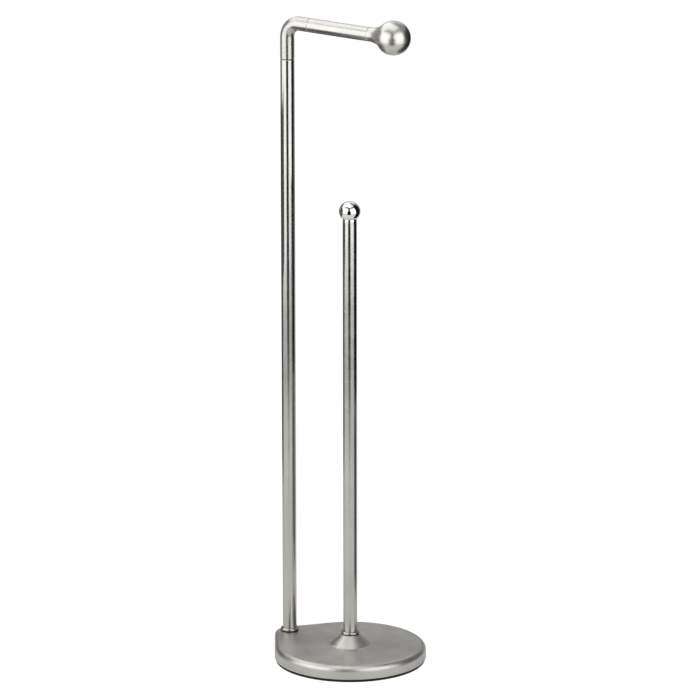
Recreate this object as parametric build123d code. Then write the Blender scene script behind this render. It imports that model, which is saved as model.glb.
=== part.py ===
"""Floor-standing toilet-roll stand: weighted base, tall post with a swivelling arm, spare-roll post.

Millimetres, +Z up. The origin is on the floor, under the axis of the reserve post.
The arm points along +X, over the base. The tall post stands on the -X side.
"""
from build123d import *
import math
import os

# ---- base -------------------------------------------------------------------
BASE_RADIUS = 76.0            # main disc, centred on the reserve post
BASE_HEIGHT = 16.0            # floor to the flat top of the cover
PAD_THICKNESS = 3.0
PAD_INSET = 1.0               # pad edge, inwards from the cover's wall
COVER_WALL = 1.0
RIM_FILLET = 6.0
CONE_FOOT_RADIUS = 20.0       # drawn cone that carries the reserve post
CONE_HEIGHT = 10.5
CONE_FOOT_FILLET = 3.0
CONE_LIP = 0.3                # flat lip round the cone's foot, beyond the fillet
CONE_SEAT_GAP = 0.05          # lip to the opening in the cover, radial
WEIGHT_GAP = 0.5              # iron weight to the cover's side wall
TALL_POST_OUTSET = 0.0        # tall post's axis beyond the main disc's edge circle

# ---- tubes ------------------------------------------------------------------
TUBE_OD = 14.0
TUBE_WALL = 1.0
TUBE_CHAMFER = 0.4            # on tube and elbow ends, so that each seam reads as a groove
ARM_HEIGHT = 644.0            # floor to the arm's axis
ELBOW_DROP = 37.0             # arm's axis down to the swivel seam
ELBOW_BEND_RADIUS = 15.0      # on the centreline
ELBOW_REACH = 28.5            # tall post's axis to the seam between elbow and arm tube
ARM_TUBE_LENGTH = 72.0
ARM_REACH = 129.0             # tall post's axis to the ball's centre
RESERVE_BALL_HEIGHT = 463.0   # floor to the reserve ball's centre

# ---- foot rings -------------------------------------------------------------
FOOT_RING_BEAD = 2.3          # how far the ring stands out from the tube
FOOT_RING_HEIGHT = 3.4
RING_GAP = 0.05               # ring bore to tube, radial

# ---- balls ------------------------------------------------------------------
BALL_RADIUS = 17.0
BALL_FLARE_RADIUS = 25.0      # concave flare from the arm into the ball
RESERVE_BALL_RADIUS = 10.6
RESERVE_BALL_HALF_HEIGHT = 10.0
RESERVE_BALL_SIDE_RADIUS = 9.1  # arc round the ball's widest part
RESERVE_STEM_BELOW_BALL = 10.0  # ball's centre down to the stem's end

# ---- screws and plugs -------------------------------------------------------
FIT_GAP = 0.02                # plug, spigot or bush in a tube, radial
THREAD_GAP = 0.05             # screw in a tapped hole, radial
BOLT_RADIUS = 3.0             # M6 post bolts
BOLT_HOLE_GAP = 0.4           # clearance hole, radial
BOLT_GRIP = 14.0              # thread in the foot plug
BOLT_HEAD_RADIUS = 5.0
BOLT_HEAD_HEIGHT = 4.0
BOLT_SOCKET_FLATS = 4.0       # hex socket, across flats
BOLT_SOCKET_DEPTH = 2.4
BOLT_SEAT = 5.0               # iron left above each counterbore
COUNTERBORE_GAP = 1.2         # washer to counterbore, radial
WASHER_RADIUS = 5.8
WASHER_THICKNESS = 1.0
LOCK_WASHER_RADIUS = 5.0
LOCK_WASHER_THICKNESS = 1.5
LOCK_WASHER_SPLIT = 0.8
PLUG_LENGTH = 22.0
STUD_RADIUS = 2.5             # M5 stud, tie rod and swivel nut thread
STUD_IN_PLUG = 12.0
STUD_IN_BALL = 7.0
SPIGOT_LENGTH = 12.0          # elbow and ball end, into the arm tube
TIE_ROD_GRIP = 10.0           # tie rod in each tapped hole
TAP_SPARE = 2.0               # tapped hole beyond the screw's end

# ---- swivel -----------------------------------------------------------------
BUSH_LENGTH = 30.0
BUSH_FLANGE = 0.6
BUSH_FLANGE_SETBACK = 0.8     # flange edge, inwards from the tube's face
PIN_RADIUS = 4.0              # shoulder that turns in the bush
PIN_GAP = 0.05                # running fit, radial
THRUST_GAP = 0.05             # running gap under the elbow and under the bush
PIN_THREAD_RADIUS = 3.0       # upper end, into the elbow
PIN_THREAD_LENGTH = 14.0
SWIVEL_WASHER_RADIUS = 5.2
SWIVEL_WASHER_THICKNESS = 0.8
SPRING_WASHER_RADIUS = 4.8
SPRING_WASHER_THICKNESS = 1.2
SPRING_WASHER_SPLIT = 0.8
NUT_FLATS = 8.0
NUT_HEIGHT = 5.0
NUT_GAP = 0.1                 # nut to spring washer
PIN_TAIL = 1.5                # thread beyond the nut

# ---- values worked out from the ones above ----------------------------------
TUBE_RADIUS = TUBE_OD / 2
TUBE_BORE = TUBE_RADIUS - TUBE_WALL
FOOT_RING_RADIUS = TUBE_RADIUS + FOOT_RING_BEAD
NOSE_RADIUS = FOOT_RING_RADIUS + RIM_FILLET     # the ring just fills the nose's flat top
POST_SPACING = BASE_RADIUS + TALL_POST_OUTSET
TALL_X = -POST_SPACING
CONE_TOP_RADIUS = FOOT_RING_RADIUS
CONE_TOP = BASE_HEIGHT + CONE_HEIGHT
CONE_SLOPE = (CONE_FOOT_RADIUS - CONE_TOP_RADIUS) / CONE_HEIGHT
CONE_LEAN = math.atan2(1, CONE_SLOPE)           # slope of the cone, up from level
CONE_LIP_RADIUS = CONE_FOOT_RADIUS + CONE_FOOT_FILLET * math.tan(CONE_LEAN / 2) + CONE_LIP
WEIGHT_INSET = COVER_WALL + WEIGHT_GAP
SEAM_HEIGHT = ARM_HEIGHT - ELBOW_DROP
SEAM_LOW = SEAM_HEIGHT - BUSH_FLANGE / 2        # top end of the tall tube
SEAM_HIGH = SEAM_HEIGHT + BUSH_FLANGE / 2 + THRUST_GAP
BUSH_FOOT = SEAM_LOW - BUSH_LENGTH
ELBOW_END_X = TALL_X + ELBOW_REACH
ARM_TUBE_END_X = ELBOW_END_X + ARM_TUBE_LENGTH
BALL_X = TALL_X + ARM_REACH
RESERVE_STEM_FOOT = RESERVE_BALL_HEIGHT - RESERVE_STEM_BELOW_BALL
TALL = (TALL_X, 0.0)
RESERVE = (0.0, 0.0)


# ---- small helpers ----------------------------------------------------------
def rod(radius, low, high, at=RESERVE):
    """Upright cylinder between two heights."""
    return Pos(at[0], at[1], (low + high) / 2) * Cylinder(radius, high - low)


def ring(outer, inner, low, high, at=RESERVE):
    """Upright tube between two heights."""
    return rod(outer, low, high, at) - rod(inner, low, high, at)


def rod_x(radius, start, end):
    """Cylinder on the arm's axis between two places along X."""
    return Pos((start + end) / 2, 0, ARM_HEIGHT) * Rot(Y=90) * Cylinder(radius, end - start)


def end_edges(solid, axis, last, radius):
    """Circular edges of one radius on a solid's first or last face along an axis."""
    group = solid.edges().group_by(axis)[-1 if last else 0]
    return [e for e in group if e.geom_type == GeomType.CIRCLE and abs(e.radius - radius) < 0.01]


def chamfer_end(solid, axis, last, radius):
    return chamfer(end_edges(solid, axis, last, radius), min(TUBE_CHAMFER, TUBE_WALL / 2))


def split_ring(outer, inner, low, high, slit, at=RESERVE):
    """Spring ring with one slit, on the +X side."""
    cut = Pos(at[0] + outer, at[1], (low + high) / 2) * Box(2 * (outer - inner) + outer, slit, high - low)
    return ring(outer, inner, low, high, at) - cut


# ---- base -------------------------------------------------------------------
def base_outline(inset):
    """Main disc and nose, joined by their two common tangents, drawn in by an inset."""
    disc = BASE_RADIUS - inset
    nose = NOSE_RADIUS - inset
    turn = math.acos((disc - nose) / POST_SPACING)
    along = -math.cos(turn)
    across = math.sin(turn)
    disc_up = (disc * along, disc * across)
    disc_down = (disc * along, -disc * across)
    nose_up = (TALL_X + nose * along, nose * across)
    nose_down = (TALL_X + nose * along, -nose * across)
    edges = [
        ThreePointArc(disc_up, (disc, 0), disc_down),
        Line(disc_down, nose_down),
        ThreePointArc(nose_down, (TALL_X - nose, 0), nose_up),
        Line(nose_up, disc_up),
    ]
    return make_face(edges)


def cone_radius(height, inset):
    """Radius of the drawn cone at a height, drawn in square to its face by an inset."""
    return CONE_TOP_RADIUS + (CONE_TOP - height) * CONE_SLOPE - inset * math.hypot(1, CONE_SLOPE)


def base_body(inset, drop):
    """The base's outer form, drawn in at the sides and lowered at the top."""
    top = BASE_HEIGHT - drop
    cone_top = CONE_TOP - drop
    body = Pos(0, 0, PAD_THICKNESS) * extrude(base_outline(inset), top - PAD_THICKNESS)
    body = fillet(body.edges().group_by(Axis.Z)[-1], max(RIM_FILLET - inset, 0.5))
    foot = cone_radius(top, inset)
    cone = Cone(foot, cone_radius(cone_top, inset), CONE_HEIGHT)
    body = body + Pos(0, 0, (top + cone_top) / 2) * cone
    seam = [e for e in body.edges() if e.geom_type == GeomType.CIRCLE and abs(e.radius - foot) < 0.01]
    return fillet(seam, CONE_FOOT_FILLET + inset)


def base_skin():
    """The sheet steel over the weight, before it is parted into cover and cone."""
    return base_body(0, 0) - base_body(COVER_WALL, COVER_WALL)


def through_base(radius, at=RESERVE):
    """Cylinder that passes right through the base."""
    return rod(radius, 0, 2 * CONE_TOP, at)


def make_base_cover():
    cover = base_skin() - through_base(CONE_LIP_RADIUS + CONE_SEAT_GAP)
    return cover - through_base(BOLT_RADIUS + BOLT_HOLE_GAP, TALL)


def make_post_cone():
    """Pressed cone that sits in the cover's opening, on the weight, and carries the reserve post."""
    cone = base_skin() & through_base(CONE_LIP_RADIUS)
    return cone - through_base(BOLT_RADIUS + BOLT_HOLE_GAP)


def weight_top(at):
    """Height of the iron under each post."""
    return (BASE_HEIGHT if at == TALL else CONE_TOP) - COVER_WALL


def bolt_seat(at):
    return weight_top(at) - BOLT_SEAT


def make_base_weight():
    weight = base_body(WEIGHT_INSET, COVER_WALL)
    for at in (TALL, RESERVE):
        weight -= rod(BOLT_RADIUS + BOLT_HOLE_GAP, PAD_THICKNESS, weight_top(at), at)
        weight -= rod(WASHER_RADIUS + COUNTERBORE_GAP, PAD_THICKNESS, bolt_seat(at), at)
    return weight


def make_base_pad():
    return extrude(base_outline(PAD_INSET), PAD_THICKNESS)


# ---- post bolts -------------------------------------------------------------
def post_foot(at):
    """Height at which a post's tube stands on the cover."""
    return BASE_HEIGHT if at == TALL else CONE_TOP


def hexagon(flats, height):
    return extrude(RegularPolygon(flats / 2, 6, major_radius=False), height)


def make_post_bolt(at):
    under_head = bolt_seat(at) - WASHER_THICKNESS - LOCK_WASHER_THICKNESS
    head_low = under_head - BOLT_HEAD_HEIGHT
    bolt = rod(BOLT_RADIUS, under_head, post_foot(at) + BOLT_GRIP, at)
    bolt = bolt + rod(BOLT_HEAD_RADIUS, head_low, under_head, at)
    return bolt - Pos(at[0], at[1], head_low) * hexagon(BOLT_SOCKET_FLATS, BOLT_SOCKET_DEPTH)


def make_post_bolt_washer(at):
    hole = BOLT_RADIUS + THREAD_GAP
    return ring(WASHER_RADIUS, hole, bolt_seat(at) - WASHER_THICKNESS, bolt_seat(at), at)


def make_post_bolt_lock_washer(at):
    top = bolt_seat(at) - WASHER_THICKNESS
    hole = BOLT_RADIUS + THREAD_GAP
    return split_ring(LOCK_WASHER_RADIUS, hole, top - LOCK_WASHER_THICKNESS, top, LOCK_WASHER_SPLIT, at)


# ---- posts ------------------------------------------------------------------
def make_post_tube(at, low, high):
    tube = ring(TUBE_RADIUS, TUBE_BORE, low, high, at)
    return chamfer_end(tube, Axis.Z, True, TUBE_RADIUS)


def make_foot_ring(at):
    """Half-round bead round the foot of a post."""
    low = post_foot(at)
    bead = FOOT_RING_HEIGHT / 2
    inner = TUBE_RADIUS + RING_GAP
    flat = max(FOOT_RING_RADIUS - bead, inner + 0.1)
    profile = make_face([
        Line((inner, low), (flat, low)),
        ThreePointArc((flat, low), (FOOT_RING_RADIUS, low + bead), (flat, low + 2 * bead)),
        Line((flat, low + 2 * bead), (inner, low + 2 * bead)),
        Line((inner, low + 2 * bead), (inner, low)),
    ])
    return Pos(at[0], at[1], 0) * revolve(Plane.XZ * profile, Axis.Z)


def make_plug(at, low, screw_radius):
    return ring(TUBE_BORE - FIT_GAP, screw_radius + THREAD_GAP, low, low + PLUG_LENGTH, at)


def make_reserve_ball_stud():
    return rod(STUD_RADIUS, RESERVE_STEM_FOOT - STUD_IN_PLUG, RESERVE_STEM_FOOT + STUD_IN_BALL)


def make_reserve_ball():
    """Flattened ball turned in one piece with a short stem of the tube's size."""
    side = RESERVE_BALL_SIDE_RADIUS
    reach = RESERVE_BALL_RADIUS - side          # side arc's centre from the axis
    half = RESERVE_BALL_HALF_HEIGHT
    crown = (reach ** 2 + half ** 2 - side ** 2) / (2 * (half - side))
    turn = math.atan2(reach, crown - half)      # where the side arc runs into the crown
    middle = RESERVE_BALL_HEIGHT
    neck = middle - math.sqrt(side ** 2 - (TUBE_RADIUS - reach) ** 2)

    def crown_point(angle):
        return (crown * math.sin(angle), middle + half - crown + crown * math.cos(angle))

    foot = (0, RESERVE_STEM_FOOT)
    foot_edge = (TUBE_RADIUS - TUBE_CHAMFER, RESERVE_STEM_FOOT)
    stem_edge = (TUBE_RADIUS, RESERVE_STEM_FOOT + TUBE_CHAMFER)
    profile = make_face([
        Line(foot, foot_edge),
        Line(foot_edge, stem_edge),
        Line(stem_edge, (TUBE_RADIUS, neck)),
        ThreePointArc((TUBE_RADIUS, neck), (RESERVE_BALL_RADIUS, middle), crown_point(turn)),
        ThreePointArc(crown_point(turn), crown_point(turn / 2), crown_point(0)),
        Line(crown_point(0), foot),
    ])
    body = revolve(Plane.XZ * profile, Axis.Z)
    return body - rod(STUD_RADIUS + THREAD_GAP, RESERVE_STEM_FOOT, RESERVE_STEM_FOOT + STUD_IN_BALL + TAP_SPARE)


# ---- swivel -----------------------------------------------------------------
def make_swivel_bush():
    sleeve = rod(TUBE_BORE - FIT_GAP, BUSH_FOOT, SEAM_LOW, TALL)
    flange = rod(TUBE_RADIUS - BUSH_FLANGE_SETBACK, SEAM_LOW, SEAM_LOW + BUSH_FLANGE, TALL)
    return sleeve + flange - rod(PIN_RADIUS + PIN_GAP, BUSH_FOOT, SEAM_LOW + BUSH_FLANGE, TALL)


def swivel_stack():
    """Heights of the pieces under the bush, from the top down."""
    washer_top = BUSH_FOOT - THRUST_GAP
    spring_top = washer_top - SWIVEL_WASHER_THICKNESS
    nut_top = spring_top - SPRING_WASHER_THICKNESS - NUT_GAP
    return washer_top, spring_top, nut_top


def make_swivel_pin():
    washer_top, _, nut_top = swivel_stack()
    thread_foot = nut_top - NUT_HEIGHT - PIN_TAIL
    pin = rod(PIN_RADIUS, washer_top, SEAM_HIGH, TALL)
    pin = pin + rod(PIN_THREAD_RADIUS, SEAM_HIGH, SEAM_HIGH + PIN_THREAD_LENGTH, TALL)
    return pin + rod(STUD_RADIUS, thread_foot, washer_top, TALL)


def make_swivel_flat_washer():
    washer_top, spring_top, _ = swivel_stack()
    return ring(SWIVEL_WASHER_RADIUS, STUD_RADIUS + THREAD_GAP, spring_top, washer_top, TALL)


def make_swivel_spring_washer():
    _, spring_top, _ = swivel_stack()
    low = spring_top - SPRING_WASHER_THICKNESS
    hole = STUD_RADIUS + THREAD_GAP
    return split_ring(SPRING_WASHER_RADIUS, hole, low, spring_top, SPRING_WASHER_SPLIT, TALL)


def make_swivel_lock_nut():
    _, _, nut_top = swivel_stack()
    nut = Pos(TALL_X, 0, nut_top - NUT_HEIGHT) * hexagon(NUT_FLATS, NUT_HEIGHT)
    return nut - rod(STUD_RADIUS + THREAD_GAP, nut_top - NUT_HEIGHT, nut_top, TALL)


# ---- arm --------------------------------------------------------------------
def make_elbow():
    """Solid cast elbow with a spigot for the arm tube and two tapped holes."""
    bend_low = ARM_HEIGHT - ELBOW_BEND_RADIUS
    bend_end_x = TALL_X + ELBOW_BEND_RADIUS
    leg = chamfer_end(rod(TUBE_RADIUS, SEAM_HIGH, bend_low, TALL), Axis.Z, False, TUBE_RADIUS)
    section = Pos(TALL_X, 0, bend_low) * Circle(TUBE_RADIUS)
    bend = revolve(section, Axis((bend_end_x, 0, bend_low), (0, 1, 0)), 90)
    reach = chamfer_end(rod_x(TUBE_RADIUS, bend_end_x, ELBOW_END_X), Axis.X, True, TUBE_RADIUS)
    spigot = rod_x(TUBE_BORE - FIT_GAP, ELBOW_END_X, ELBOW_END_X + SPIGOT_LENGTH)
    elbow = leg + bend + reach + spigot
    elbow -= rod(PIN_THREAD_RADIUS + THREAD_GAP, SEAM_HIGH, SEAM_HIGH + PIN_THREAD_LENGTH + TAP_SPARE, TALL)
    tapped = SPIGOT_LENGTH + ELBOW_END_X
    return elbow - rod_x(STUD_RADIUS + THREAD_GAP, tapped - TIE_ROD_GRIP - TAP_SPARE, tapped)


def make_arm_tube():
    tube = rod_x(TUBE_RADIUS, ELBOW_END_X, ARM_TUBE_END_X) - rod_x(TUBE_BORE, ELBOW_END_X, ARM_TUBE_END_X)
    tube = chamfer_end(tube, Axis.X, True, TUBE_RADIUS)
    return chamfer_end(tube, Axis.X, False, TUBE_RADIUS)


def make_arm_tie_rod():
    start = ELBOW_END_X + SPIGOT_LENGTH - TIE_ROD_GRIP
    end = ARM_TUBE_END_X - SPIGOT_LENGTH + TIE_ROD_GRIP
    return rod_x(STUD_RADIUS, start, end)


def make_ball_end():
    """Ball that grows out of the arm through a concave flare tangent to both."""
    flare_axis = TUBE_RADIUS + BALL_FLARE_RADIUS
    touch = BALL_FLARE_RADIUS + BALL_RADIUS
    flare_length = math.sqrt(touch ** 2 - flare_axis ** 2)
    flare_x = BALL_X - flare_length
    turn = math.asin(flare_length / touch)
    ball_point = (BALL_X - BALL_RADIUS * math.sin(turn), BALL_RADIUS * math.cos(turn))
    half = turn / 2
    flare_mid = (flare_x + BALL_FLARE_RADIUS * math.sin(half), flare_axis - BALL_FLARE_RADIUS * math.cos(half))
    profile = make_face([
        Line((ARM_TUBE_END_X, 0), (ARM_TUBE_END_X, TUBE_RADIUS - TUBE_CHAMFER)),
        Line((ARM_TUBE_END_X, TUBE_RADIUS - TUBE_CHAMFER), (ARM_TUBE_END_X + TUBE_CHAMFER, TUBE_RADIUS)),
        Line((ARM_TUBE_END_X + TUBE_CHAMFER, TUBE_RADIUS), (flare_x, TUBE_RADIUS)),
        ThreePointArc((flare_x, TUBE_RADIUS), flare_mid, ball_point),
        ThreePointArc(ball_point, (BALL_X, BALL_RADIUS), (BALL_X + BALL_RADIUS, 0)),
        Line((BALL_X + BALL_RADIUS, 0), (ARM_TUBE_END_X, 0)),
    ])
    body = Pos(0, 0, ARM_HEIGHT) * revolve(profile, Axis.X)
    body = body + rod_x(TUBE_BORE - FIT_GAP, ARM_TUBE_END_X - SPIGOT_LENGTH, ARM_TUBE_END_X)
    mouth = ARM_TUBE_END_X - SPIGOT_LENGTH
    return body - rod_x(STUD_RADIUS + THREAD_GAP, mouth, mouth + TIE_ROD_GRIP + TAP_SPARE)


# ---- build and write --------------------------------------------------------
def make_parts():
    both = (TALL, RESERVE)
    return {
        "base_cover": make_base_cover(),
        "post_cone": make_post_cone(),
        "base_weight": make_base_weight(),
        "base_pad": make_base_pad(),
        "post_bolts": Compound([make_post_bolt(at) for at in both]),
        "post_bolt_washers": Compound([make_post_bolt_washer(at) for at in both]),
        "post_bolt_lock_washers": Compound([make_post_bolt_lock_washer(at) for at in both]),
        "tall_post_tube": make_post_tube(TALL, post_foot(TALL), SEAM_LOW),
        "tall_post_foot_ring": make_foot_ring(TALL),
        "tall_post_foot_plug": make_plug(TALL, post_foot(TALL), BOLT_RADIUS),
        "swivel_bush": make_swivel_bush(),
        "reserve_post_tube": make_post_tube(RESERVE, post_foot(RESERVE), RESERVE_STEM_FOOT),
        "reserve_post_foot_ring": make_foot_ring(RESERVE),
        "reserve_post_foot_plug": make_plug(RESERVE, post_foot(RESERVE), BOLT_RADIUS),
        "reserve_post_top_plug": make_plug(RESERVE, RESERVE_STEM_FOOT - PLUG_LENGTH, STUD_RADIUS),
        "reserve_ball_stud": make_reserve_ball_stud(),
        "reserve_ball": make_reserve_ball(),
        "swivel_pin": make_swivel_pin(),
        "swivel_flat_washer": make_swivel_flat_washer(),
        "swivel_spring_washer": make_swivel_spring_washer(),
        "swivel_lock_nut": make_swivel_lock_nut(),
        "elbow": make_elbow(),
        "arm_tube": make_arm_tube(),
        "arm_tie_rod": make_arm_tie_rod(),
        "ball_end": make_ball_end(),
    }


os.makedirs("parts", exist_ok=True)
for name, shape in make_parts().items():
    export_step(shape, f"parts/{name}.step")
    print(f"{name}: {len(shape.solids())} solid(s), {shape.volume:.0f} mm3")
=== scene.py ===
# %% [markdown]
# # A floor-standing toilet-roll stand
# The stand is two satin posts on a heavy round base. The tall post carries a short arm that ends in a ball
# and swivels; the short post holds spare rolls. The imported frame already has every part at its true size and
# place, with the joint that the arm turns on. This lesson gives those parts their looks: finer meshes for
# what shows, procedural metals, and a plain studio to see them in.

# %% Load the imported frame
import math

import bmesh
import bpy
from mathutils import Matrix, Vector


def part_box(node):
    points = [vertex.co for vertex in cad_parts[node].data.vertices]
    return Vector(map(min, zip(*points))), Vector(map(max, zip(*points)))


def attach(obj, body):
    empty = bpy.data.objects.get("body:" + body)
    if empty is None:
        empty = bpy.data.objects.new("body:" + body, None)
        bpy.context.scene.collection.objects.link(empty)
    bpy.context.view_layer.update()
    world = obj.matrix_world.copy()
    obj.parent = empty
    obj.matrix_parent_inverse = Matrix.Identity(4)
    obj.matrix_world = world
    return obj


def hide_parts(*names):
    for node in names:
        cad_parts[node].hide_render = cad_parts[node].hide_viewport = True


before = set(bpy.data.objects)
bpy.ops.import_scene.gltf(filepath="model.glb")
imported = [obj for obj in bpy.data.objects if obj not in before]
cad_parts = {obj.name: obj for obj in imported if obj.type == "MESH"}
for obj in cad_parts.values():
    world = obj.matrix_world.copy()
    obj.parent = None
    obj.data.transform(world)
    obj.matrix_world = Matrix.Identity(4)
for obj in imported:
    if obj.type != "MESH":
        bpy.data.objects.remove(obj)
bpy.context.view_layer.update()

# %% [markdown]
# ## Sizes
# A maker's drawing gives a few sizes and lets the rest follow. Heights and places could be typed in again,
# but then they could drift from the frame, so they are read from the boxes of its nodes. Only radii and
# small gaps, which a box can't tell, are written out, here or beside the piece they belong to.

# %% Places read from the frame, small radii written out
MM = 0.001
TUBE_RADIUS = 7.0 * MM
TUBE_BORE = 6.0 * MM
TUBE_CHAMFER = 0.4 * MM
SPIGOT_RADIUS = 5.98 * MM

tall_low, tall_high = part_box("tall_post_tube")
reserve_low, reserve_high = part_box("reserve_post_tube")
elbow_low, elbow_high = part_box("elbow")
arm_low, arm_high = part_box("arm_tube")
ball_low, ball_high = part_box("ball_end")
cover_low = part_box("base_cover")[0]
pad_low, pad_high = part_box("base_pad")

TALL_X = (tall_low.x + tall_high.x) / 2
BASE_TOP = tall_low.z
CONE_TOP = reserve_low.z
ARM_HEIGHT = elbow_high.z - TUBE_RADIUS
print("tall post at x", round(TALL_X, 4), "arm at z", round(ARM_HEIGHT, 4))

# %% [markdown]
# ## Turned pieces
# Posts, rings and balls are all round about one axis, so a lathe could make each of them. The spin operator
# is that lathe. It first sweeps single points into the arcs of an outline, and then sweeps the whole outline
# round the axis. A cylinder primitive could stand for a tube, but it would have no bore, and no chamfer to
# catch light.

# %% Draw an outline and turn it
ARC_STEPS = 14
TURN_STEPS = 128
WELD = 1e-7
QUARTER_TURN = 90
HALF_TURN = 180


def spin_point(bm, vert, centre, axis, degrees, steps):
    """Sweeps one point into an arc and gives the arc's last point."""
    swept = bmesh.ops.spin(
        bm, geom=[vert], cent=centre, axis=axis, angle=math.radians(degrees), steps=steps
    )
    return [item for item in swept["geom_last"] if isinstance(item, bmesh.types.BMVert)][0]


def join_to(bm, vert, place):
    """Draws a straight edge from a point to a new one."""
    following = bm.verts.new(place)
    bm.edges.new((vert, following))
    return following


def trace(bm, start, moves, closed=True):
    """Draws an outline in the XZ plane. Each move is a place and a turn in degrees: no turn draws a straight
    edge to the place, and a turn sweeps an arc about it, clockwise as seen from the front."""
    first = bm.verts.new((start[0], 0, start[1]))
    last = first
    for place, degrees in moves:
        point = (place[0], 0, place[1])
        if degrees:
            last = spin_point(bm, last, point, (0, 1, 0), degrees, ARC_STEPS)
        else:
            last = join_to(bm, last, point)
    if closed:
        bm.edges.new((last, first))


def turn(bm, centre, axis):
    """Turns everything drawn so far once round an axis, and closes the seam and the poles."""
    geometry = bm.verts[:] + bm.edges[:]
    bmesh.ops.spin(
        bm, geom=geometry, cent=centre, axis=axis, angle=math.tau, steps=TURN_STEPS, use_merge=True
    )
    bmesh.ops.remove_doubles(bm, verts=bm.verts, dist=WELD)
    bmesh.ops.recalc_face_normals(bm, faces=bm.faces)


# %% Finish a piece: smooth it, keep its creases, and put it on its body
CREASE = math.radians(28)


def finish_piece(bm, name, body, material, stands_for):
    """Makes the object, which rides on a body and stands for one node of the frame."""
    for face in bm.faces:
        face.smooth = True
    mesh = bpy.data.meshes.new(name)
    bm.to_mesh(mesh)
    bm.free()
    mesh.set_sharp_from_angle(angle=CREASE)
    mesh.materials.append(material)
    piece = bpy.data.objects.new(name, mesh)
    bpy.context.scene.collection.objects.link(piece)
    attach(piece, body)
    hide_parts(stands_for)
    print(name, "stands for", stands_for, "with", len(mesh.polygons), "faces")


# %% [markdown]
# ## Effects that the finishes share
# Brushed metal is a mirror with thousands of fine scratches, and no two areas have had quite the same hand.
# That could be painted by hand, but a procedure stays sharp at any distance. Four small node groups hold
# what every finish needs: fine grain, a slow drift of tone, wear where an edge gets rubbed, and painted
# shade where a corner shuts out the light.

# %% Helpers that add nodes and links
def add_node(tree, kind, **settings):
    """Adds a node and sets its properties."""
    node = tree.nodes.new(kind)
    for key, value in settings.items():
        setattr(node, key, value)
    return node


def new_group(name, inputs, outputs):
    """Starts a shader node group. Inputs give a type and a default, and outputs give a type."""
    group = bpy.data.node_groups.new(name, "ShaderNodeTree")
    for label, (kind, default) in inputs.items():
        socket = group.interface.new_socket(label, in_out="INPUT", socket_type=kind)
        if default is not None:
            socket.default_value = default
    for label, kind in outputs.items():
        group.interface.new_socket(label, in_out="OUTPUT", socket_type=kind)
    return group, add_node(group, "NodeGroupInput"), add_node(group, "NodeGroupOutput")


def ramp(tree, source, low, high, to_low, to_high):
    """Maps a value from one range to another, and holds it there."""
    node = add_node(tree, "ShaderNodeMapRange")
    for label, value in zip(("From Min", "From Max", "To Min", "To Max"), (low, high, to_low, to_high)):
        node.inputs[label].default_value = value
    tree.links.new(source, node.inputs["Value"])
    return node.outputs["Result"]


# %% Fine grain: streaks that follow whatever coordinates come in
FLOAT = "NodeSocketFloat"
VECTOR = "NodeSocketVector"
STREAK_DETAIL = 3.0
STREAK_ROUGHNESS = 0.65
STREAK_RANGE = (0.3, 0.7)

grain_group, grain_in, grain_out = new_group(
    "fine_grain", {"Vector": (VECTOR, None), "Detail": (FLOAT, STREAK_DETAIL)},
    {"Tone": FLOAT, "Height": FLOAT}
)
streaks = add_node(grain_group, "ShaderNodeTexNoise")
streaks.inputs["Scale"].default_value = 1.0
streaks.inputs["Roughness"].default_value = STREAK_ROUGHNESS
grain_group.links.new(grain_in.outputs["Vector"], streaks.inputs["Vector"])
grain_group.links.new(grain_in.outputs["Detail"], streaks.inputs["Detail"])
tone = ramp(grain_group, streaks.outputs["Fac"], *STREAK_RANGE, 0.0, 1.0)
grain_group.links.new(tone, grain_out.inputs["Tone"])
grain_group.links.new(streaks.outputs["Fac"], grain_out.inputs["Height"])

# %% Tone drift: slow, soft patches, and faint smudges from hands
PATCH_SCALE = 18.0
SMUDGE_SCALE = 70.0
PATCH_SPREAD = 0.15
SMUDGE_SPREAD = 0.1
PATCH_DETAIL = 2.0

drift_group, drift_in, drift_out = new_group(
    "tone_drift",
    {"Vector": (VECTOR, None), "Patch Scale": (FLOAT, PATCH_SCALE), "Smudge Scale": (FLOAT, SMUDGE_SCALE)},
    {"Drift": FLOAT, "Smudge": FLOAT},
)
for label, source, spread in (
    ("Drift", "Patch Scale", PATCH_SPREAD), ("Smudge", "Smudge Scale", SMUDGE_SPREAD)
):
    patches = add_node(drift_group, "ShaderNodeTexNoise")
    patches.inputs["Detail"].default_value = PATCH_DETAIL
    drift_group.links.new(drift_in.outputs["Vector"], patches.inputs["Vector"])
    drift_group.links.new(drift_in.outputs[source], patches.inputs["Scale"])
    soft = ramp(drift_group, patches.outputs["Fac"], 0.5 - spread, 0.5 + spread, 0.0, 1.0)
    drift_group.links.new(soft, drift_out.inputs[label])

# %% Edge wear: where a rounded normal leaves the true one, an edge is near
WEAR_REACH = 0.35 * MM
WEAR_RAYS = 4
WEAR_NONE = 0.995
WEAR_FULL = 0.94

wear_group, wear_in, wear_out = new_group("edge_wear", {"Reach": (FLOAT, WEAR_REACH)}, {"Mask": FLOAT})
rounded = add_node(wear_group, "ShaderNodeBevel", samples=WEAR_RAYS)
facing = add_node(wear_group, "ShaderNodeNewGeometry")
agreement = add_node(wear_group, "ShaderNodeVectorMath", operation="DOT_PRODUCT")
wear_group.links.new(wear_in.outputs["Reach"], rounded.inputs["Radius"])
wear_group.links.new(rounded.outputs["Normal"], agreement.inputs[0])
wear_group.links.new(facing.outputs["Normal"], agreement.inputs[1])
worn = ramp(wear_group, agreement.outputs["Value"], WEAR_NONE, WEAR_FULL, 0.0, 1.0)
wear_group.links.new(worn, wear_out.inputs["Mask"])

# %% Corner shade: where little of the open room is in reach, painted shade darkens the colour and nothing shines
CORNER_SHADE_REACH = 3.0 * MM
CORNER_SHADE_RAYS = 8
OPEN_UNSHADED = 0.7
OPEN_FULLY_SHADED = 0.3
CORNER_SHADE_MOST = 0.9

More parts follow.
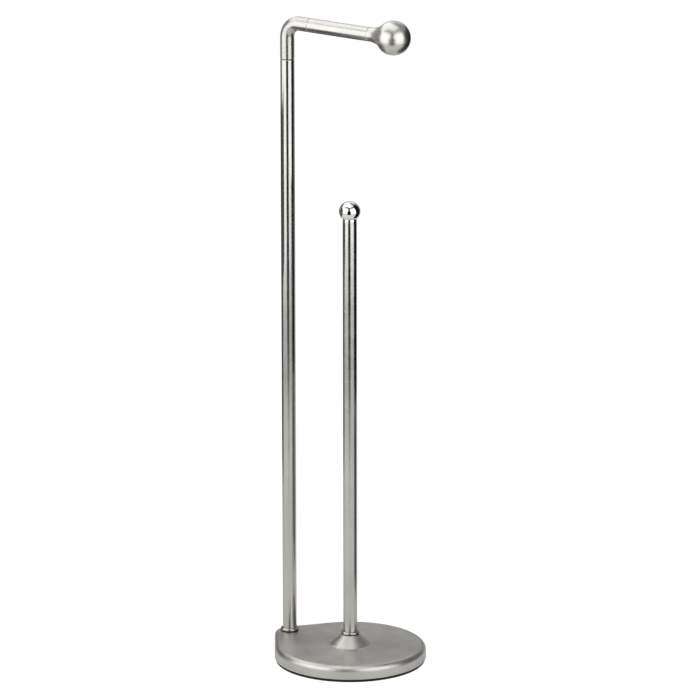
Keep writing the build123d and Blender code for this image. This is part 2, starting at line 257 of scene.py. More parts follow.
corner_shade_group, corner_shade_in, corner_shade_out = new_group(
    "painted_corner_shade", {"Reach": (FLOAT, CORNER_SHADE_REACH)}, {"Mask": FLOAT}
)
openness = add_node(corner_shade_group, "ShaderNodeAmbientOcclusion", samples=CORNER_SHADE_RAYS)
corner_shade_group.links.new(corner_shade_in.outputs["Reach"], openness.inputs["Distance"])
# Painted shade: the more a corner shuts out the room, the darker the colour.
shut_in = ramp(corner_shade_group, openness.outputs["AO"], OPEN_UNSHADED, OPEN_FULLY_SHADED, 0.0, CORNER_SHADE_MOST)
corner_shade_group.links.new(shut_in, corner_shade_out.inputs["Mask"])
print("groups:", [group.name for group in bpy.data.node_groups])

# %% [markdown]
# ## Grain that follows the work
# A post is brushed while it spins, so its scratches run round it: the pattern changes fast along the axis
# and slowly round it. The arm is the same about its own axis. The base is brushed on a turntable, so its
# scratches are circles and the pattern changes with the distance from the middle. One stretched Mapping does
# the first two, and the length of the flat vector does the third.

# %% Coordinates for each way of brushing
FAST = 5200.0
SLOW = 55.0
EVEN = 1500.0
WITHOUT_HEIGHT = (1, 1, 0)


def object_coordinates(tree):
    """Coordinates that stay with the piece when its body moves."""
    return add_node(tree, "ShaderNodeTexCoord").outputs["Object"]


def stretched(scale):
    """Coordinates stretched by a Mapping, so that noise becomes streaks."""
    def build(tree):
        mapping = add_node(tree, "ShaderNodeMapping")
        mapping.inputs["Scale"].default_value = scale
        tree.links.new(object_coordinates(tree), mapping.inputs["Vector"])
        return mapping.outputs["Vector"]
    return build


def circles(tree):
    """Coordinates that change with the distance from the reserve post's axis."""
    flat = add_node(tree, "ShaderNodeVectorMath", operation="MULTIPLY")
    flat.inputs[1].default_value = WITHOUT_HEIGHT
    tree.links.new(object_coordinates(tree), flat.inputs[0])
    distance = add_node(tree, "ShaderNodeVectorMath", operation="LENGTH")
    tree.links.new(flat.outputs["Vector"], distance.inputs[0])
    across = add_node(tree, "ShaderNodeMath", operation="MULTIPLY")
    across.inputs[1].default_value = FAST
    tree.links.new(distance.outputs["Value"], across.inputs[0])
    around = add_node(tree, "ShaderNodeVectorMath", operation="SCALE")
    around.inputs["Scale"].default_value = SLOW
    tree.links.new(flat.outputs["Vector"], around.inputs[0])
    lift = add_node(tree, "ShaderNodeCombineXYZ")
    tree.links.new(across.outputs["Value"], lift.inputs["Z"])
    together = add_node(tree, "ShaderNodeVectorMath", operation="ADD")
    tree.links.new(around.outputs["Vector"], together.inputs[0])
    tree.links.new(lift.outputs["Vector"], together.inputs[1])
    return together.outputs["Vector"]


round_the_post = stretched((SLOW, SLOW, FAST))
round_the_arm = stretched((FAST, SLOW, SLOW))
all_over = stretched((EVEN, EVEN, EVEN))

# %% One recipe for every finish
CORNER_SHADE_COLOUR = (0.02, 0.018, 0.015)
GRAIN_SHARE = 0.4
SCRATCH_TURN = 0.25


def mix_colours(tree, fac, first, second):
    """Mixes a colour, or what makes it, with another by a mask."""
    node = add_node(tree, "ShaderNodeMix", data_type="RGBA")
    tree.links.new(fac, node.inputs["Factor"])
    for label, value in (("A", first), ("B", second)):
        socket = [s for s in node.inputs if s.name == label and s.type == "RGBA"][0]
        if isinstance(value, bpy.types.NodeSocket):
            tree.links.new(value, socket)
        else:
            socket.default_value = (*value, 1.0)
    return [s for s in node.outputs if s.type == "RGBA"][0]


def add_values(tree, first, second):
    """Adds two values and holds the sum between 0 and 1."""
    node = add_node(tree, "ShaderNodeMath", operation="ADD", use_clamp=True)
    tree.links.new(first, node.inputs[0])
    tree.links.new(second, node.inputs[1])
    return node.outputs["Value"]


def make_finish(name, brush, dark, light, worn_colour, smooth, rough, depth, metallic=1.0, anisotropy=0.0):
    """Builds one material. Grain and drift move its tone between a dark and a light one, smudges and grain
    move its roughness, grain gives the bump, worn edges show another colour, and painted shade darkens tight
    corners."""
    material = bpy.data.materials.new(name)
    material.use_nodes = True
    tree = material.node_tree
    shader = tree.nodes["Principled BSDF"]

    fine = add_node(tree, "ShaderNodeGroup", node_tree=grain_group)
    tree.links.new(brush(tree), fine.inputs["Vector"])
    drift = add_node(tree, "ShaderNodeGroup", node_tree=drift_group)
    tree.links.new(object_coordinates(tree), drift.inputs["Vector"])
    wear = add_node(tree, "ShaderNodeGroup", node_tree=wear_group)

    streak_tone = ramp(tree, fine.outputs["Tone"], 0.0, 1.0, 0.0, GRAIN_SHARE)
    patch_tone = ramp(tree, drift.outputs["Drift"], 0.0, 1.0, 0.0, 1.0 - GRAIN_SHARE)
    tone = add_values(tree, streak_tone, patch_tone)
    colour = mix_colours(tree, tone, dark, light)
    colour = mix_colours(tree, wear.outputs["Mask"], colour, worn_colour)
    # Painted shade: the colour goes dark in tight corners, where little light gets in.
    painted_shade = add_node(tree, "ShaderNodeGroup", node_tree=corner_shade_group)
    colour = mix_colours(tree, painted_shade.outputs["Mask"], colour, CORNER_SHADE_COLOUR)
    tree.links.new(colour, shader.inputs["Base Color"])

    middle = (smooth + rough) / 2
    from_grain = ramp(tree, fine.outputs["Tone"], 0.0, 1.0, smooth, middle)
    from_smudge = ramp(tree, drift.outputs["Smudge"], 0.0, 1.0, 0.0, rough - middle)
    tree.links.new(add_values(tree, from_grain, from_smudge), shader.inputs["Roughness"])

    bump = add_node(tree, "ShaderNodeBump")
    bump.inputs["Strength"].default_value = 1.0
    bump.inputs["Distance"].default_value = depth
    tree.links.new(fine.outputs["Height"], bump.inputs["Height"])
    tree.links.new(bump.outputs["Normal"], shader.inputs["Normal"])

    shader.inputs["Metallic"].default_value = metallic
    shader.inputs["Anisotropic"].default_value = anisotropy
    shader.inputs["Anisotropic Rotation"].default_value = SCRATCH_TURN
    return material


# %% [markdown]
# ## The finishes
# Satin nickel is slightly warm and never quite even. Chrome on the small ball is nearly a mirror, and the
# foot rings are polished nickel, a little creamier, and darkened with painted shade. Zinc plate on the
# fasteners is colder, the pad is dull foam rubber, the weight is rough cast iron and the bush is nylon. The
# satin nickel comes in five versions. They share three tones, so the stand reads as one metal, and differ in
# which way the brush went and how fine it was. Four are darker copies: painted shade dims the parts that the
# lights leave too bright.

# %% Mix the finishes
NICKEL_DARK = (0.56, 0.545, 0.52)
NICKEL_LIGHT = (0.68, 0.665, 0.64)
NICKEL_WORN = (0.78, 0.765, 0.74)


def nickel(name, brush, smooth, rough, depth, anisotropy=0.0, shade=1.0):
    """Satin nickel, darkened by painted shade where the shade is below one."""
    tones = [[shade * value for value in tone] for tone in (NICKEL_DARK, NICKEL_LIGHT, NICKEL_WORN)]
    return make_finish(name, brush, *tones, smooth, rough, depth, anisotropy=anisotropy)


# A shade below one is painted shade, dimming a part that the lights leave too bright.
nickel_post = nickel("nickel_post", round_the_post, smooth=0.15, rough=0.23, depth=0.0004 * MM,
                     anisotropy=0.5, shade=0.9)
nickel_arm = nickel("nickel_arm", round_the_arm, smooth=0.2, rough=0.3, depth=0.0008 * MM, shade=0.93)
nickel_cast = nickel("nickel_cast", all_over, smooth=0.2, rough=0.3, depth=0.001 * MM, shade=0.85)
nickel_ball = nickel("nickel_ball", round_the_arm, smooth=0.27, rough=0.36, depth=0.0008 * MM)
nickel_base = nickel("nickel_base", circles, smooth=0.34, rough=0.46, depth=0.0004 * MM,
                     anisotropy=0.2, shade=0.93)

chrome = make_finish(
    "chrome", all_over, dark=(0.78, 0.78, 0.77), light=(0.84, 0.84, 0.82), worn_colour=(0.88, 0.88, 0.86),
    smooth=0.03, rough=0.07, depth=0.0001 * MM,
)
# Polished nickel for the foot rings, darkened all over with painted shade.
polished_nickel = make_finish(
    "polished_nickel", all_over, dark=(0.42, 0.405, 0.37), light=(0.48, 0.465, 0.43),
    worn_colour=(0.54, 0.525, 0.495), smooth=0.1, rough=0.16, depth=0.0001 * MM,
)
zinc_plate = make_finish(
    "zinc_plate", all_over, dark=(0.6, 0.62, 0.64), light=(0.72, 0.72, 0.7), worn_colour=(0.8, 0.8, 0.8),
    smooth=0.24, rough=0.4, depth=0.002 * MM,
)
foam_rubber = make_finish(
    "foam_rubber", all_over, dark=(0.003, 0.003, 0.003), light=(0.008, 0.008, 0.008),
    worn_colour=(0.02, 0.02, 0.02), smooth=0.75, rough=0.95, depth=0.05 * MM, metallic=0.0,
)
cast_iron = make_finish(
    "cast_iron", all_over, dark=(0.09, 0.088, 0.085), light=(0.16, 0.155, 0.15),
    worn_colour=(0.26, 0.26, 0.26), smooth=0.5, rough=0.75, depth=0.06 * MM,
)
nylon = make_finish(
    "nylon", all_over, dark=(0.02, 0.02, 0.02), light=(0.045, 0.045, 0.045), worn_colour=(0.07, 0.07, 0.07),
    smooth=0.4, rough=0.6, depth=0.01 * MM, metallic=0.0,
)
print("finishes:", [material.name for material in bpy.data.materials if material.use_nodes])

# %% [markdown]
# ## The parts inside
# Bolts, plugs, washers, the swivel and the weight hide inside the stand. They keep the meshes of the frame,
# because nothing of them shows but a dark line at the swivel, and only need their finish.

# %% Give the inside parts their finish
INSIDE = {
    zinc_plate: ["post_bolts", "post_bolt_washers", "post_bolt_lock_washers", "tall_post_foot_plug",
                 "reserve_post_foot_plug", "reserve_post_top_plug", "reserve_ball_stud", "swivel_pin",
                 "swivel_flat_washer", "swivel_spring_washer", "swivel_lock_nut", "arm_tie_rod"],
    cast_iron: ["base_weight"],
    nylon: ["swivel_bush"],
}
for material, names in INSIDE.items():
    for name in names:
        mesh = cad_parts[name].data
        mesh.materials.clear()
        mesh.materials.append(material)
    print(material.name, "on", len(names), "nodes")

# %% [markdown]
# ## The posts
# Each post is a thin tube with a lightly chamfered top. The chamfer matters more than its size suggests:
# where two pieces meet, a pair of chamfers makes the fine groove that says these are separate parts.

# %% Turn the two posts
def make_post(name, x, low, high, stands_for):
    """Turns a tube that stands at x, with its top edge chamfered."""
    bm = bmesh.new()
    trace(bm, (x + TUBE_BORE, low), [
        ((x + TUBE_RADIUS, low), 0),
        ((x + TUBE_RADIUS, high - TUBE_CHAMFER), 0),
        ((x + TUBE_RADIUS - TUBE_CHAMFER, high), 0),
        ((x + TUBE_BORE, high), 0),
    ])
    turn(bm, (x, 0, 0), (0, 0, 1))
    finish_piece(bm, name, "stand", nickel_post, stands_for)


make_post("tall_post", TALL_X, tall_low.z, tall_high.z, "tall_post_tube")
make_post("reserve_post", 0.0, reserve_low.z, reserve_high.z, "reserve_post_tube")

# %% [markdown]
# ## The foot rings
# A bright half-round ring hides the joint between each post and the base. Its outline is a half circle set
# against the tube, so it is one arc and three straight edges.

# %% Turn the two foot rings
RING_GAP = 0.05 * MM
RING_BORE = TUBE_RADIUS + RING_GAP


def make_foot_ring(name, x, node):
    """Turns a half-round bead round the post at x, as high and as wide as its node."""
    low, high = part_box(node)
    bead = (high.z - low.z) / 2
    flat = x + (high.x - low.x) / 2 - bead
    bm = bmesh.new()
    trace(bm, (x + RING_BORE, high.z), [
        ((flat, high.z), 0),
        ((flat, low.z + bead), HALF_TURN),
        ((x + RING_BORE, low.z), 0),
    ])
    turn(bm, (x, 0, 0), (0, 0, 1))
    finish_piece(bm, name, "stand", polished_nickel, node)


make_foot_ring("tall_ring", TALL_X, "tall_post_foot_ring")
make_foot_ring("reserve_ring", 0.0, "reserve_post_foot_ring")

# %% [markdown]
# ## The reserve ball
# The small ball is a little flatter than a sphere. A scaled sphere could do it, but its neck would not meet
# the stem cleanly. Two arcs that run into each other give the shape of a real turning: a tight one round the
# side and a wide one over the crown.

# %% Turn the reserve ball and its stem
small_low, small_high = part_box("reserve_ball")
SIDE_RADIUS = 9.1 * MM
BALL_WIDE = 10.6 * MM
BALL_HALF = 10.0 * MM
ball_middle = small_high.z - BALL_HALF
side_reach = BALL_WIDE - SIDE_RADIUS
crown_radius = (side_reach ** 2 + BALL_HALF ** 2 - SIDE_RADIUS ** 2) / (2 * (BALL_HALF - SIDE_RADIUS))
crown_turn = math.degrees(math.atan2(side_reach, crown_radius - BALL_HALF))
neck_drop = math.sqrt(SIDE_RADIUS ** 2 - (TUBE_RADIUS - side_reach) ** 2)
neck_turn = math.degrees(math.atan2(neck_drop, TUBE_RADIUS - side_reach))

bm = bmesh.new()
trace(bm, (0, small_high.z), [
    ((0, small_high.z - crown_radius), crown_turn),
    ((side_reach, ball_middle), QUARTER_TURN - crown_turn + neck_turn),
    ((TUBE_RADIUS, small_low.z + TUBE_CHAMFER), 0),
    ((TUBE_RADIUS - TUBE_CHAMFER, small_low.z), 0),
    ((0, small_low.z), 0),
], closed=False)
turn(bm, (0, 0, 0), (0, 0, 1))
finish_piece(bm, "small_ball", "stand", chrome, "reserve_ball")

# %% [markdown]
# ## The elbow
# The elbow is a solid casting: a short leg, a tight bend and a short reach. A curve with a bevel could
# follow the path, but the ends need chamfers and a spigot. So one circle is extruded up, spun through the
# bend and extruded on, the way the casting's own outline runs.

# %% Draw the elbow out of one circle
BEND_RADIUS = 15.0 * MM
BEND_STEPS = 28


def draw_out(bm, edges, move, scale=1.0, about=(0, 0, 0)):
    """Extrudes a loop of edges, moves the new loop, and scales it about a centre."""
    grown = bmesh.ops.extrude_edge_only(bm, edges=edges)["geom"]
    verts = [item for item in grown if isinstance(item, bmesh.types.BMVert)]
    bmesh.ops.translate(bm, verts=verts, vec=move)
    bmesh.ops.scale(bm, verts=verts, vec=(scale, scale, scale), space=Matrix.Translation(-Vector(about)))
    return [item for item in grown if isinstance(item, bmesh.types.BMEdge) and item.is_boundary]


leg_low = elbow_low.z
bend_low = ARM_HEIGHT - BEND_RADIUS
bend_end = TALL_X + BEND_RADIUS
reach_end = arm_low.x
narrow = (TUBE_RADIUS - TUBE_CHAMFER) / TUBE_RADIUS
leg_up = leg_low + TUBE_CHAMFER

bm = bmesh.new()
bmesh.ops.create_circle(
    bm, cap_ends=False, radius=TUBE_RADIUS - TUBE_CHAMFER, segments=TURN_STEPS,
    matrix=Matrix.Translation((TALL_X, 0, leg_low)),
)
foot_edges = bm.edges[:]
bmesh.ops.edgeloop_fill(bm, edges=foot_edges)
loop = draw_out(bm, foot_edges, (0, 0, TUBE_CHAMFER), 1 / narrow, (TALL_X, 0, leg_up))
loop = draw_out(bm, loop, (0, 0, bend_low - leg_up))
bent = bmesh.ops.spin(
    bm, geom=loop, cent=(bend_end, 0, bend_low), axis=(0, 1, 0), angle=math.radians(QUARTER_TURN),
    steps=BEND_STEPS
)
loop = [item for item in bent["geom_last"] if isinstance(item, bmesh.types.BMEdge)]
loop = draw_out(bm, loop, (reach_end - TUBE_CHAMFER - bend_end, 0, 0))
loop = draw_out(bm, loop, (TUBE_CHAMFER, 0, 0), narrow, (reach_end, 0, ARM_HEIGHT))
step_in = SPIGOT_RADIUS / (TUBE_RADIUS - TUBE_CHAMFER)
loop = draw_out(bm, loop, (0, 0, 0), step_in, (reach_end, 0, ARM_HEIGHT))
loop = draw_out(bm, loop, (elbow_high.x - reach_end, 0, 0))
bmesh.ops.edgeloop_fill(bm, edges=loop)
bmesh.ops.remove_doubles(bm, verts=bm.verts, dist=WELD)
bmesh.ops.recalc_face_normals(bm, faces=bm.faces)
finish_piece(bm, "cast_elbow", "arm", nickel_cast, "elbow")

# %% [markdown]
# ## The arm and its ball
# The arm is a short tube like the posts, lying down. The ball at its end keeps a roll from sliding off, and
# it grows out of the arm through a flare instead of sitting on it. The flare is an arc that touches both the
# arm and the ball, so its ends are worked out from the two radii.

# %% Turn the arm tube
bm = bmesh.new()
trace(bm, (arm_low.x, ARM_HEIGHT + TUBE_BORE), [
    ((arm_low.x, ARM_HEIGHT + TUBE_RADIUS - TUBE_CHAMFER), 0),
    ((arm_low.x + TUBE_CHAMFER, ARM_HEIGHT + TUBE_RADIUS), 0),
    ((arm_high.x - TUBE_CHAMFER, ARM_HEIGHT + TUBE_RADIUS), 0),
    ((arm_high.x, ARM_HEIGHT + TUBE_RADIUS - TUBE_CHAMFER), 0),
    ((arm_high.x, ARM_HEIGHT + TUBE_BORE), 0),
])
turn(bm, (0, 0, ARM_HEIGHT), (1, 0, 0))
finish_piece(bm, "arm_sleeve", "arm", nickel_arm, "arm_tube")

# %% Turn the flared ball
BALL_RADIUS = 17.0 * MM
FLARE_RADIUS = 25.0 * MM
ball_x = ball_high.x - BALL_RADIUS
flare_centre_up = TUBE_RADIUS + FLARE_RADIUS
centres_apart = FLARE_RADIUS + BALL_RADIUS
flare_length = math.sqrt(centres_apart ** 2 - flare_centre_up ** 2)
flare_x = ball_x - flare_length
flare_turn = math.degrees(math.asin(flare_length / centres_apart))

bm = bmesh.new()
trace(bm, (ball_low.x, ARM_HEIGHT), [
    ((ball_low.x, ARM_HEIGHT + SPIGOT_RADIUS), 0),
    ((arm_high.x, ARM_HEIGHT + SPIGOT_RADIUS), 0),
    ((arm_high.x, ARM_HEIGHT + TUBE_RADIUS - TUBE_CHAMFER), 0),
    ((arm_high.x + TUBE_CHAMFER, ARM_HEIGHT + TUBE_RADIUS), 0),
    ((flare_x, ARM_HEIGHT + TUBE_RADIUS), 0),
    ((flare_x, ARM_HEIGHT + flare_centre_up), -flare_turn),
    ((ball_x, ARM_HEIGHT), QUARTER_TURN + flare_turn),
], closed=False)
turn(bm, (0, 0, ARM_HEIGHT), (1, 0, 0))
finish_piece(bm, "flared_ball", "arm", nickel_ball, "ball_end")

# %% [markdown]
# ## The base
# The cover is drawn from sheet steel: a disc with a nose round the tall post, a rounded rim, and a round
# opening where a pressed cone sits and carries the short post. A subdivision surface could shape the cover,
# but it would soften the rim. Here the outline is swept from two points, extruded into a wall and bevelled
# into the rim. A narrow support ring just inside the rim keeps its soft shading from running across the
# flat. The flat itself is filled with triangles round the opening, because a bridge between two loops that
# far apart would cross itself. Each finished skin gets its sheet thickness last.

# %% Sweep the outline of the base
BASE_RADIUS = 76.0 * MM
NOSE_RADIUS = 15.3 * MM
DISC_STEPS = 160
NOSE_STEPS = 44


def draw_base_outline(bm, inset, z):
    """Sweeps the disc and the nose, and joins them with their two common tangents."""
    disc = BASE_RADIUS - inset
    nose = NOSE_RADIUS - inset
    lean = math.acos((disc - nose) / -TALL_X)
    along, across = -math.cos(lean), math.sin(lean)
    degrees = math.degrees(lean)
    first = bm.verts.new((disc * along, disc * across, z))
    last = spin_point(bm, first, (0, 0, z), (0, 0, 1), -2 * (HALF_TURN - degrees), DISC_STEPS)
    last = join_to(bm, last, (TALL_X + nose * along, -nose * across, z))
    last = spin_point(bm, last, (TALL_X, 0, z), (0, 0, 1), -2 * degrees, NOSE_STEPS)
    bm.edges.new((last, first))
    return bm.edges[:]


# %% Raise the wall and round the rim
RIM_RADIUS = 6.0 * MM
RIM_STEPS = 12
ROUND = 0.5
SHEET = 1.0 * MM
SUPPORT = 0.6 * MM

bm = bmesh.new()
wall_foot = draw_base_outline(bm, 0.0, cover_low.z)
wall_top = draw_out(bm, wall_foot, (0, 0, BASE_TOP - cover_low.z))
bmesh.ops.edgeloop_fill(bm, edges=wall_top)
bmesh.ops.bevel(
    bm, geom=wall_top, offset=RIM_RADIUS, segments=RIM_STEPS, profile=ROUND, affect="EDGES", material=-1,
    clamp_overlap=False,
)
flat_top = max(bm.faces, key=lambda face: len(face.verts))
bmesh.ops.inset_individual(bm, faces=[flat_top], thickness=SUPPORT)
flat_edge = flat_top.edges[:]
bmesh.ops.delete(bm, geom=[flat_top], context="FACES_ONLY")
print("rim edge has", len(flat_edge), "edges")

# %% Open the flat top for the cone, and give the cover its thickness
LIP_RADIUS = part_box("post_cone")[1].x
SEAT_GAP = 0.05 * MM

opening = bmesh.ops.create_circle(
    bm, cap_ends=False, radius=LIP_RADIUS + SEAT_GAP, segments=TURN_STEPS,
    matrix=Matrix.Translation((0, 0, BASE_TOP)),
)["verts"]
opening_edge = list({edge for vert in opening for edge in vert.link_edges})
filled = bmesh.ops.triangle_fill(
    bm, edges=flat_edge + opening_edge, use_beauty=True, normal=(0, 0, 1)
)["geom"]
flat_area = sum(item.calc_area() for item in filled if isinstance(item, bmesh.types.BMFace))
print("flat top covers", round(flat_area / MM ** 2), "square mm")
bmesh.ops.recalc_face_normals(bm, faces=bm.faces)
bmesh.ops.solidify(bm, geom=bm.faces[:], thickness=SHEET)
finish_piece(bm, "drawn_cover", "stand", nickel_base, "base_cover")

# %% Turn the cone out of its own sheet
CONE_FOOT_RADIUS = 20.0 * MM
CONE_TOP_RADIUS = 9.3 * MM
CONE_FILLET = 3.0 * MM
BOLT_HOLE = 3.4 * MM
cone_lean = math.atan2(CONE_TOP - BASE_TOP, CONE_FOOT_RADIUS - CONE_TOP_RADIUS)
fillet_x = CONE_FOOT_RADIUS + CONE_FILLET * math.tan(cone_lean / 2)
fillet_start = (fillet_x - CONE_FILLET * math.sin(cone_lean),
                BASE_TOP + CONE_FILLET * (1 - math.cos(cone_lean)))

bm = bmesh.new()
trace(bm, (BOLT_HOLE, CONE_TOP), [
    ((CONE_TOP_RADIUS, CONE_TOP), 0),
    (fillet_start, 0),
    ((fillet_x, BASE_TOP + CONE_FILLET), -math.degrees(cone_lean)),
    ((LIP_RADIUS, BASE_TOP), 0),
], closed=False)
turn(bm, (0, 0, 0), (0, 0, 1))
bmesh.ops.solidify(bm, geom=bm.faces[:], thickness=SHEET)
print("cone lies between", round(min(v.co.z for v in bm.verts) / MM, 2), "and",
      round(max(v.co.z for v in bm.verts) / MM, 2), "mm")
finish_piece(bm, "pressed_cone", "stand", nickel_base, "post_cone")

# %% [markdown]
# ## The pad
# A thin foam pad under the cover keeps the floor from scratches. Only its edge shows, as a dark line. It has
# the outline of the base drawn in a little, so the same sweep makes it.

# %% Extrude the pad
PAD_INSET = 1.0 * MM
PAD_EDGE = 0.35 * MM
PAD_EDGE_STEPS = 3

bm = bmesh.new()
pad_foot = draw_base_outline(bm, PAD_INSET, pad_low.z)
bmesh.ops.edgeloop_fill(bm, edges=pad_foot)
pad_rim = draw_out(bm, pad_foot, (0, 0, pad_high.z - pad_low.z))
bmesh.ops.edgeloop_fill(bm, edges=pad_rim)
bmesh.ops.recalc_face_normals(bm, faces=bm.faces)
bmesh.ops.bevel(
    bm, geom=pad_foot + pad_rim, offset=PAD_EDGE, segments=PAD_EDGE_STEPS, profile=ROUND, affect="EDGES",
    material=-1, clamp_overlap=False,
)
finish_piece(bm, "foam_pad", "stand", foam_rubber, "base_pad")

# %% [markdown]
# ## The camera
# A long lens from a little above keeps the two posts almost parallel. It stands off to one side, so the arm
# and the ball at its end are both seen.

# %% Set up the camera
CAMERA_TURN = math.radians(36.3)
CAMERA_AWAY = 5.5
CAMERA_HEIGHT = 1.8234
CAMERA_LENS = 295.96
CAMERA_SEES_TO = 50.0
CAMERA_ROLL = math.radians(-0.083)
CAMERA_AIM = Vector((0.0001, 0.0, 0.3216))

lens = bpy.data.cameras.new("camera")
lens.lens = CAMERA_LENS
lens.clip_end = CAMERA_SEES_TO
camera = bpy.data.objects.new("camera", lens)
bpy.context.scene.collection.objects.link(camera)
camera.location = (
    CAMERA_AWAY * math.sin(CAMERA_TURN), -CAMERA_AWAY * math.cos(CAMERA_TURN), CAMERA_HEIGHT
)
looking = (CAMERA_AIM - camera.location).to_track_quat("-Z", "Y").to_matrix()
camera.rotation_euler = (looking @ Matrix.Rotation(CAMERA_ROLL, 3, "Z")).to_euler()
bpy.context.scene.camera = camera
print("camera stands", round((camera.location - CAMERA_AIM).length, 3), "m from what it looks at")

# %% [markdown]
# ## The studio
# Metal has no look of its own: it shows the room. Two tall softboxes make the pair of bright bands on every
# post, with a dark gap between them. A box overhead lights the cone and the rim, one tilted on a boom lights
# the top of the arm, and a dim one behind lights the tops from the far side. Cards that only reflections
# see shape all this: black ones keep the gap dark and the bands' edges crisp, and grey ones dim what the
# small ball and the lower posts show. The floor and the far room are pale.

# %% Soft lights and dark cards, placed round the stand
def direction(degrees):
    """Level direction from the stand, in degrees to the right of the camera."""
    angle = CAMERA_TURN + math.radians(degrees)
    return Vector((math.sin(angle), -math.cos(angle), 0))


def upright(degrees, away, low, high):
    """Matrix of an upright panel that faces the stand. Its front is its -Z side."""
    place = direction(degrees) * away
    place.z = (low + high) / 2
    turned_in = direction(degrees).to_track_quat("Z", "Y").to_matrix().to_4x4()
    return Matrix.Translation(place) @ turned_in


def softbox(name, matrix, width, height, radiance):
    """Area light of an even brightness, seen in reflections but not by the camera."""
    light = bpy.data.lights.new(name, "AREA")
    light.shape = "RECTANGLE"
    light.size = width
    light.size_y = height
    light.energy = radiance * math.pi * width * height
    lamp = bpy.data.objects.new(name, light)
    lamp.matrix_world = matrix
    lamp.visible_camera = False
    bpy.context.scene.collection.objects.link(lamp)


def tall_softbox(name, degrees, half_angle, away, low, high, radiance):
    """Upright softbox, as wide as the angle it fills when seen from the stand."""
    width = 2 * away * math.tan(math.radians(half_angle))
    softbox(name, upright(degrees, away, low, high), width, high - low, radiance)


def tilted_softbox(name, degrees, away, height, width, depth, radiance):
    """Softbox on a boom, tilted to face the arm."""
    place = direction(degrees) * away + Vector((0, 0, height))
    facing = (place - Vector((0, 0, ARM_HEIGHT))).to_track_quat("Z", "Y").to_matrix().to_4x4()
    softbox(name, Matrix.Translation(place) @ facing, width, depth, radiance)


def plain_material(name, colour):
    """Dull, even paint for what is not part of the stand."""
    material = bpy.data.materials.new(name)
    material.use_nodes = True
    shader = material.node_tree.nodes["Principled BSDF"]
    shader.inputs["Base Color"].default_value = (*colour, 1.0)
    shader.inputs["Roughness"].default_value = 1.0
    shader.inputs["Specular IOR Level"].default_value = 0.0
    return material


card_black = plain_material("card_black", (0.01, 0.01, 0.01))
card_grey = plain_material("card_grey", (0.1, 0.1, 0.1))


def dark_card(name, degrees, half_angle, away, low, high, paint=card_black):
    """Card that darkens reflections and nothing else."""
    width = 2 * away * math.tan(math.radians(half_angle))
    shape = Matrix.Diagonal((width, high - low, 1, 1))
    bm = bmesh.new()
    bmesh.ops.create_grid(
        bm, x_segments=1, y_segments=1, size=0.5, matrix=upright(degrees, away, low, high) @ shape
    )
    mesh = bpy.data.meshes.new(name)
    bm.to_mesh(mesh)
    bm.free()
    mesh.materials.append(paint)
    card = bpy.data.objects.new(name, mesh)
    bpy.context.scene.collection.objects.link(card)
    card.visible_camera = False
    card.visible_diffuse = False
    card.visible_shadow = False


tall_softbox("left_box", degrees=-57, half_angle=40, away=1.0, low=0.13, high=1.5, radiance=1.45)
tall_softbox("right_box", degrees=38, half_angle=33, away=1.0, low=0.13, high=1.5, radiance=1.45)
tilted_softbox("high_box", degrees=-128, away=0.95, height=1.75, width=1.5, depth=1.3, radiance=1.22)
tall_softbox("back_box", degrees=180, half_angle=30, away=1.6, low=1.2, high=2.2, radiance=0.75)

TOP_BOX_FORWARD = 0.2
TOP_BOX_HEIGHT = 2.1
over_the_stand = Matrix.Translation(direction(0) * TOP_BOX_FORWARD + Vector((0, 0, TOP_BOX_HEIGHT)))
softbox("top_box", over_the_stand, width=1.2, height=1.2, radiance=1.2)

dark_card("low_front_card", degrees=-7, half_angle=19, away=0.8, low=0.02, high=0.72)
dark_card("high_front_card", degrees=-8, half_angle=9.5, away=0.8, low=0.72, high=1.6)
dark_card("right_card", degrees=100, half_angle=32, away=0.17, low=0.22, high=0.72)
dark_card("left_card", degrees=-128, half_angle=50, away=0.16, low=0.36, high=0.54, paint=card_grey)
dark_card("low_left_card", degrees=-128, half_angle=28, away=0.6, low=0.02, high=0.34, paint=card_grey)
dark_card("low_right_card", degrees=95, half_angle=25, away=0.22, low=0.004, high=0.2, paint=card_grey)
print("softboxes:", [light.name for light in bpy.data.lights])

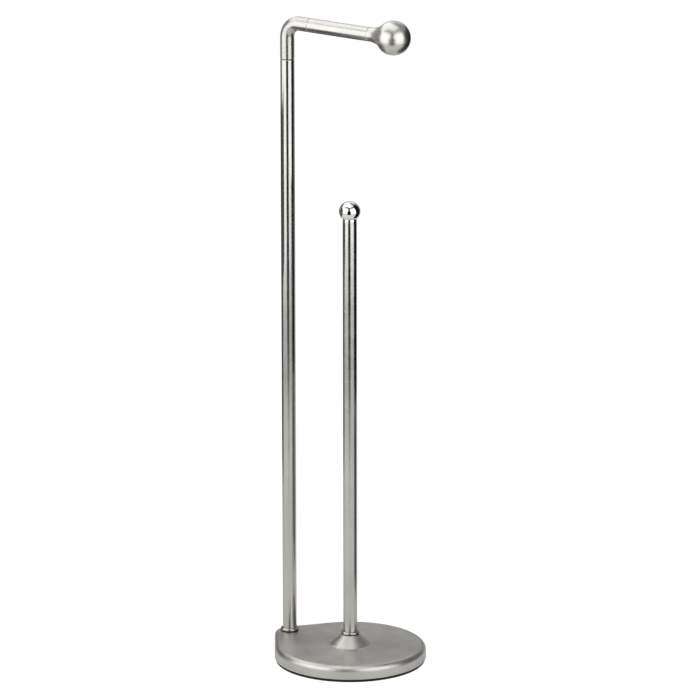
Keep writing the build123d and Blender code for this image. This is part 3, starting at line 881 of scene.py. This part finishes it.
# %% The floor
FLOOR_HALF = 8.0
FLOOR_PAINT = (0.74, 0.735, 0.72)
FLOOR_GLOW = 1.12
GLOW_SEEN = 0.88

bm = bmesh.new()
bmesh.ops.create_grid(bm, x_segments=1, y_segments=1, size=FLOOR_HALF)
floor_mesh = bpy.data.meshes.new("floor")
bm.to_mesh(floor_mesh)
bm.free()
floor = bpy.data.objects.new("floor", floor_mesh)
bpy.context.scene.collection.objects.link(floor)

floor_paint = plain_material("floor_paint", FLOOR_PAINT)
tree = floor_paint.node_tree
glow = add_node(tree, "ShaderNodeEmission")
glow.inputs["Strength"].default_value = FLOOR_GLOW
blend = add_node(tree, "ShaderNodeMixShader")
seen = ramp(tree, add_node(tree, "ShaderNodeLightPath").outputs["Is Camera Ray"], 0.0, 1.0, 0.0, GLOW_SEEN)
tree.links.new(seen, blend.inputs["Fac"])
tree.links.new(tree.nodes["Principled BSDF"].outputs["BSDF"], blend.inputs[1])
tree.links.new(glow.outputs["Emission"], blend.inputs[2])
tree.links.new(blend.outputs["Shader"], tree.nodes["Material Output"].inputs["Surface"])
floor_mesh.materials.append(floor_paint)
print("floor is", 2 * FLOOR_HALF, "m across")

# %% The far room: white behind the stand, a soft grey in reflections
ROOM_GREY = (0.32, 0.32, 0.317, 1.0)
BACKDROP_WHITE = (1.0, 1.0, 1.0, 1.0)

world = bpy.data.worlds.new("room")
bpy.context.scene.world = world
world.use_nodes = True
tree = world.node_tree
room = tree.nodes["Background"]
room.inputs["Color"].default_value = ROOM_GREY
backdrop = add_node(tree, "ShaderNodeBackground")
backdrop.inputs["Color"].default_value = BACKDROP_WHITE
choose = add_node(tree, "ShaderNodeMixShader")
tree.links.new(add_node(tree, "ShaderNodeLightPath").outputs["Is Camera Ray"], choose.inputs["Fac"])
tree.links.new(room.outputs["Background"], choose.inputs[1])
tree.links.new(backdrop.outputs["Background"], choose.inputs[2])
tree.links.new(choose.outputs["Shader"], tree.nodes["World Output"].inputs["Surface"])
bpy.context.scene.view_settings.view_transform = "Standard"
print("world:", world.name)
